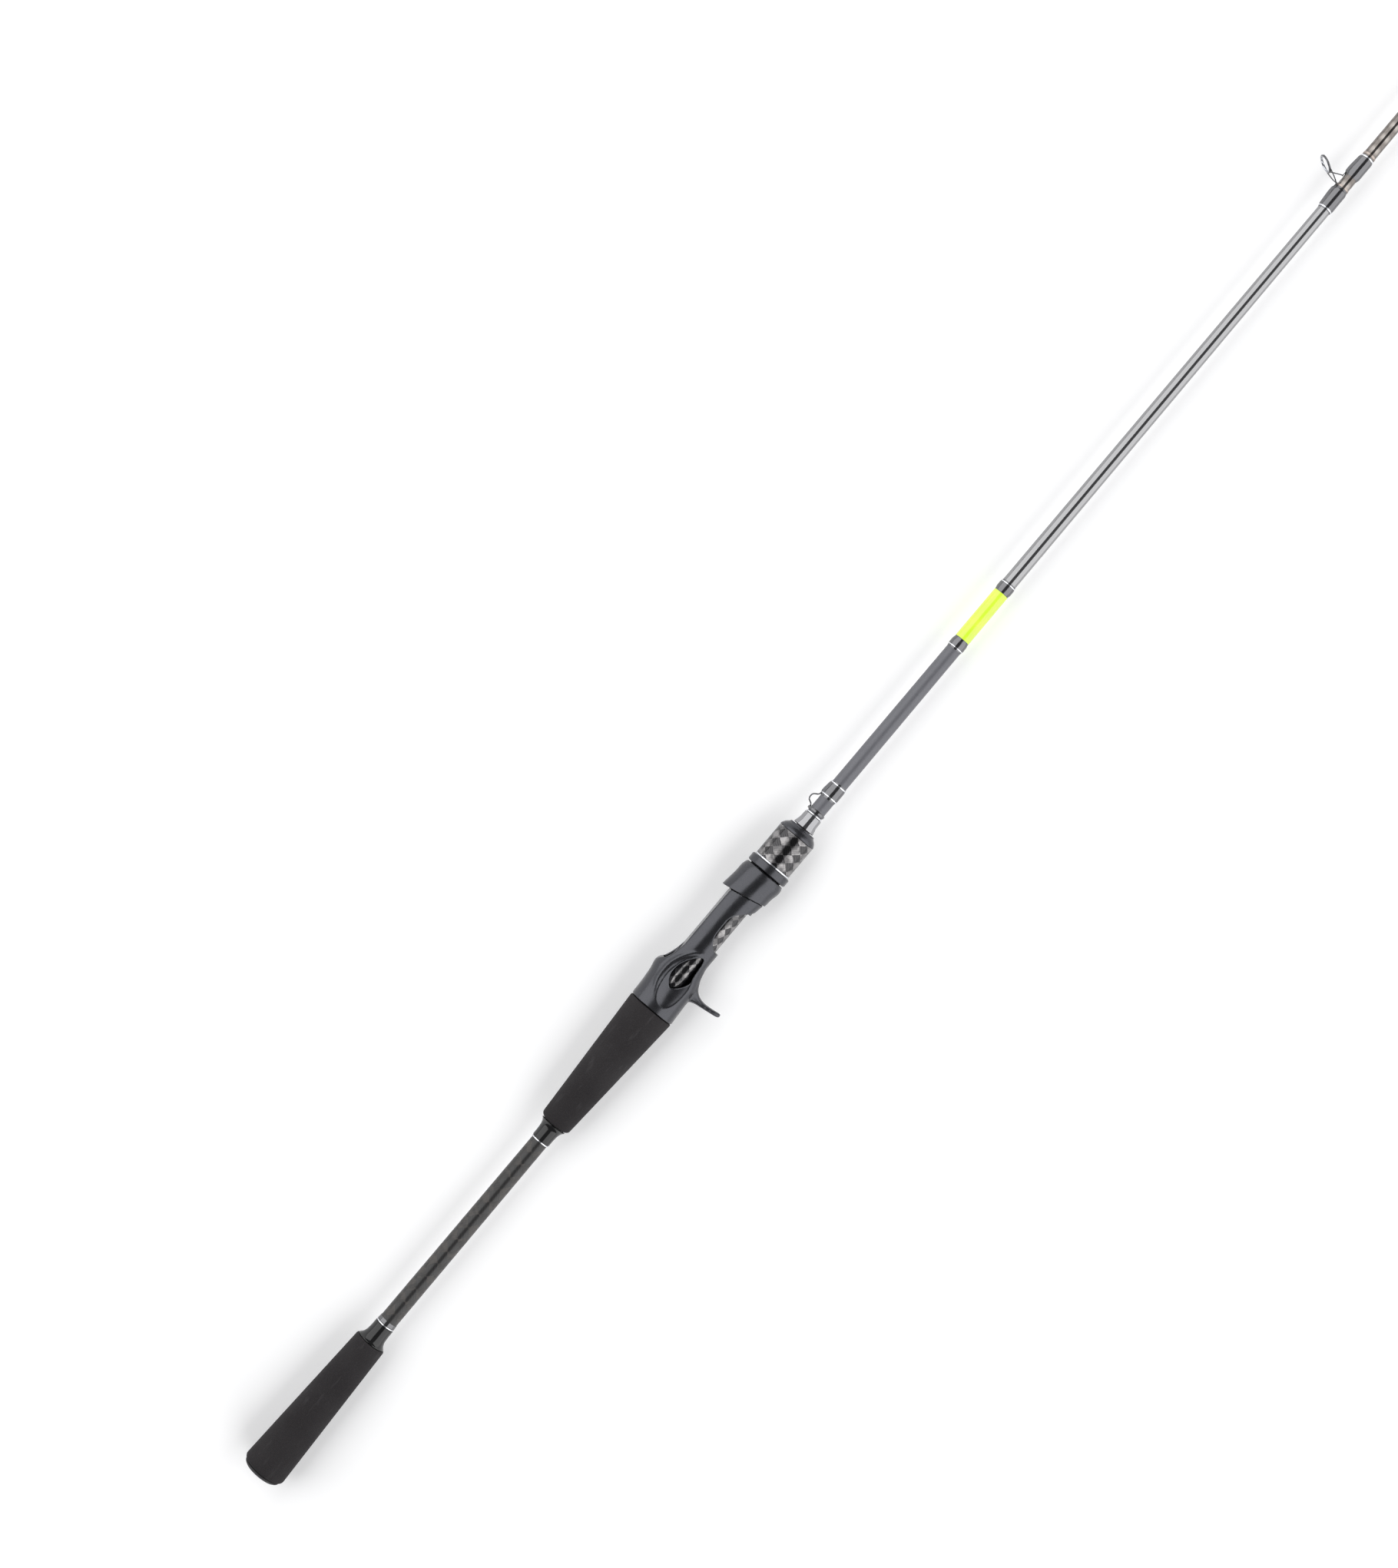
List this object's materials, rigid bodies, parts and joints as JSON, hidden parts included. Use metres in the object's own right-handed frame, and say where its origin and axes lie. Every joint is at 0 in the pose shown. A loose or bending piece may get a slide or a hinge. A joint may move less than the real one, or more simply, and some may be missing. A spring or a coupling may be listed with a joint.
{
  "type": "casting fishing rod",
  "caption": "Two-section casting fishing rod with split foam grips, a trigger reel seat with a screw-down hood, a hook keeper and a row of line guides",
  "frame": {"origin": "centre of the flat end face of the butt cap, on the axis of the blank", "axes": "+X along the rod to its tip, +Y the side that carries the reel and the line guides, +Z across the rod; the trigger points to -Y, and the rod lies on its side"},
  "size_m": [2.2929, 0.056, 0.0296],
  "materials": {
    "rubber": "matte moulded rubber",
    "eva_foam": "matte charcoal closed-cell foam",
    "carbon_weave": "woven carbon under clear gloss resin",
    "seat_grey": "satin graphite grey",
    "gloss_black": "gloss black",
    "silver": "bright turned",
    "blank_grey": "satin metallic grey lacquer on carbon",
    "blank_black": "gloss black lacquer on carbon",
    "neon": "gloss neon yellow-green",
    "thread_wrap": "black thread under clear epoxy",
    "gunmetal": "polished dark steel",
    "ring": "polished grey ceramic",
    "arbor": "rigid foam"
  },
  "bodies": {
    "rod_butt": {"butt_cap": "rubber", "butt_grip": "eva_foam", "rear_grip": "eva_foam", "handle_carbon_sleeve": "carbon_weave", "butt_winding_check": "gloss_black", "rear_winding_check": "gloss_black", "butt_check_ring": "silver", "rear_check_ring": "silver", "butt_lacquer_band": "thread_wrap", "blank_butt_section": "blank_grey", "reel_seat_body": "seat_grey", "seat_carbon_sleeve": "carbon_weave", "seat_arbor_rear": "arbor", "seat_arbor_front": "arbor", "front_winding_check": "gloss_black", "front_check_ring": "silver", "hook_keeper": "gunmetal", "keeper_rear_wrap": "thread_wrap", "keeper_front_wrap": "thread_wrap", "band_rear_wrap": "thread_wrap", "band_front_wrap": "thread_wrap", "colour_band": "neon", "stripper_guide_front_wrap": "thread_wrap", "stripper_guide_frame": "gunmetal", "stripper_guide_ring": "ring", "stripper_guide_wrap": "thread_wrap"},
    "hood": {"moving_hood": "seat_grey"},
    "lock_nut": {"nut_core": "seat_grey", "nut_collar": "seat_grey", "nut_trim_ring": "silver", "nut_carbon_sleeve": "carbon_weave", "nut_end_cap": "seat_grey"},
    "rod_tip": {"blank_tip_section": "blank_black", "ferrule_wrap": "thread_wrap", "tip_top": "gunmetal", "tip_top_ring": "ring", "running_guide_1_frame": "gunmetal", "running_guide_1_ring": "ring", "running_guide_1_wrap": "thread_wrap", "running_guide_2_frame": "gunmetal", "running_guide_2_ring": "ring", "running_guide_2_wrap": "thread_wrap", "running_guide_3_frame": "gunmetal", "running_guide_3_ring": "ring", "running_guide_3_wrap": "thread_wrap", "running_guide_4_frame": "gunmetal", "running_guide_4_ring": "ring", "running_guide_4_wrap": "thread_wrap", "running_guide_5_frame": "gunmetal", "running_guide_5_ring": "ring", "running_guide_5_wrap": "thread_wrap", "running_guide_6_frame": "gunmetal", "running_guide_6_ring": "ring", "running_guide_6_wrap": "thread_wrap", "running_guide_7_frame": "gunmetal", "running_guide_7_ring": "ring", "running_guide_7_wrap": "thread_wrap", "running_guide_8_frame": "gunmetal", "running_guide_8_ring": "ring", "running_guide_8_wrap": "thread_wrap"}
  },
  "joints": [
    {"name": "hood_slide", "type": "slide", "parent": "rod_butt", "child": "hood", "axis": [1, 0, 0], "range_m": [0, 0.009]},
    {"name": "nut_turn", "type": "hinge", "parent": "hood", "child": "lock_nut", "pos_m": [0.473, 0, 0], "axis": [1, 0, 0], "range_deg": [0, 1080]},
    {"name": "ferrule_slide", "type": "slide", "parent": "rod_butt", "child": "rod_tip", "axis": [1, 0, 0], "range_m": [0, 0.07]}
  ],
  "couplings": [
    {"joint": "hood_slide", "follows": "nut_turn", "m_per_rad": 0.00047746}
  ]
}
